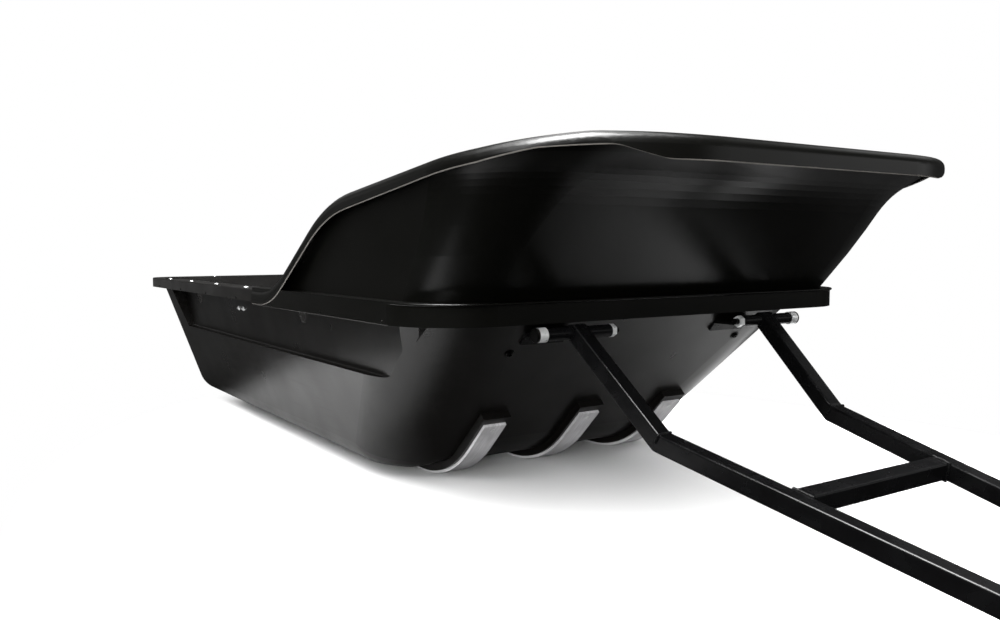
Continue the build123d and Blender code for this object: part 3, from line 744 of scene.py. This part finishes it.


# The sheet lies round the sled. To the camera the floor is plain white paper. In the plastic's mirror, and in
# the light it bounces, the sheet is painted pale in three areas and painted shade elsewhere, and past its
# edge the floor is a painted dark room, while the view itself stays white to the horizon.
def painted_floor_sheet():
    """Matt white paper within an ellipse, painted with shade and pale areas for all rays but the camera's,
    and past it a floor that only the camera sees white.
    """
    material, tree, surface, place = new_material("white_paper_painted_in_mirror")
    sheet_place = {"Vector": place, "Location": (*SHEET_MIDDLE, 0), "Scale": (*SHEET_HALF, 1)}
    centred = add(tree, "ShaderNodeMapping", sheet_place, vector_type="TEXTURE").outputs[0]
    reach = add(tree, "ShaderNodeVectorMath", {0: centred}, operation="LENGTH").outputs["Value"]
    edge = {"Value": reach, "From Min": 0.92, "From Max": 1.08}
    past = add(tree, "ShaderNodeMapRange", edge, interpolation_type="SMOOTHSTEP").outputs[0]
    seen = add(tree, "ShaderNodeLightPath", {}).outputs["Is Camera Ray"]
    paper = add(tree, "ShaderNodeMix", {0: seen, 6: sheet_painted_in_mirror(tree, place), 7: linear("#f6f6f6")},
                data_type="RGBA").outputs[2]
    feed(tree, surface, {"Base Color": paper, "Roughness": 0.9, "Specular IOR Level": 0.1})
    # Past the sheet's edge the floor is painted dark for all rays but the camera's.
    dark = add(tree, "ShaderNodeBsdfDiffuse", {"Color": (0.02, 0.02, 0.02, 1)}).outputs[0]
    bright = add(tree, "ShaderNodeEmission", {"Color": (1, 1, 1, 1), "Strength": 1.0}).outputs[0]
    beyond = add(tree, "ShaderNodeMixShader", {0: seen, 1: dark, 2: bright}).outputs[0]
    whole = add(tree, "ShaderNodeMixShader", {0: past, 1: surface.outputs[0], 2: beyond}).outputs[0]
    tree.links.new(whole, tree.nodes["Material Output"].inputs["Surface"])
    return material


floor_mesh.materials.append(painted_floor_sheet())

# Room: white in the view, nearly dark for the plastic
world = bpy.data.worlds.new("studio")
bpy.context.scene.world = world
world.use_nodes = True
seen = add(world.node_tree, "ShaderNodeLightPath", {}).outputs["Is Camera Ray"]
room_light = spread(world.node_tree, seen, 0.0, 1.0, 0.05, 1.0)
feed(world.node_tree, world.node_tree.nodes["Background"], {"Color": (1, 1, 1, 1), "Strength": room_light})

# Lights: name, place and aim in metres, width, height, watts
SOFTBOXES = (
    ("overhead_softbox", (-0.5, -0.2, 3.0), (0, -0.1, 0.2), 3.0, 3.6, 200),
    ("left_softbox", (-3.0, -0.8, 1.9), (0, -0.2, 0.35), 1.0, 1.0, 30),
)
# Fills lighten the shadows without showing in the plastic.
FILLS = (
    ("overhead_fill", (0, -0.3, 3.6), (0, -0.3, 0), 9.0, 9.0, 1250),
    ("front_fill", (-2.6, -3.2, 0.9), (0, -0.3, 0.1), 3.0, 1.4, 160),
)
# Cards show only as highlights in the plastic.
CARDS = (
    ("crest_card", (-0.95, -0.85, 2.2), (-0.4, -0.55, 0.5), 1.3, 1.3, 420),
    ("rear_card", (-0.25, 3.6, 1.75), (-0.45, 0.2, 0.5), 1.1, 0.7, 1.0),
    ("right_card", (2.8, -0.4, 2.2), (0.1, -0.6, 0.5), 1.2, 0.9, 3),
    ("front_card", (3.2, -3.1, 1.0), (0, -0.6, 0.5), 3.2, 0.8, 9),
    ("flank_card", (-1.75, 3.4, 1.05), (-0.45, 0.2, 0.45), 1.6, 0.8, 0.9),
    ("rim_card", (-1.25, 5.0, 0.2), (-0.45, 1.0, 0.3), 0.7, 0.34, 0.3),
    ("panel_card", (-0.75, 2.6, 0.02), (-0.75, 2.6, 1.0), 0.6, 0.9, 0.08),
)


def area_light(name, position, target, width, height, power, mirrored=True, lights=True):
    """A rectangular light that may be left out of the plastic's mirror, or light nothing but it."""
    light = bpy.data.lights.new(name, "AREA")
    light.shape = "RECTANGLE"
    light.size, light.size_y, light.energy = width, height, power
    holder = bpy.data.objects.new(name, light)
    bpy.context.scene.collection.objects.link(holder)
    holder.location = position
    holder.rotation_euler = (Vector(target) - Vector(position)).to_track_quat("-Z", "Y").to_euler()
    holder.visible_glossy = mirrored
    holder.visible_diffuse = lights


for row in SOFTBOXES:
    area_light(*row)
for row in FILLS:
    area_light(*row, mirrored=False)
for row in CARDS:
    area_light(*row, lights=False)

# Camera, fitted to the photograph
camera_data = bpy.data.cameras.new("photo_view")
camera_data.sensor_width = 36.0
camera_data.lens = 31.62
camera_data.shift_x = 0.0007
camera_data.shift_y = -0.0062
camera_data.clip_start = 0.02
camera = bpy.data.objects.new("photo_view", camera_data)
bpy.context.scene.collection.objects.link(camera)
camera.matrix_world = Matrix((
    (0.83562989, 0.04226819, -0.54766421, -0.98827),
    (-0.54928028, 0.05754269, -0.83365461, -0.99236 + RIM_FRONT_EDGE / 1000),
    (-0.003723, 0.99744786, 0.07130148, 0.40879),
    (0, 0, 0, 1),
))
bpy.context.scene.camera = camera
bpy.context.scene.view_settings.view_transform = "Standard"
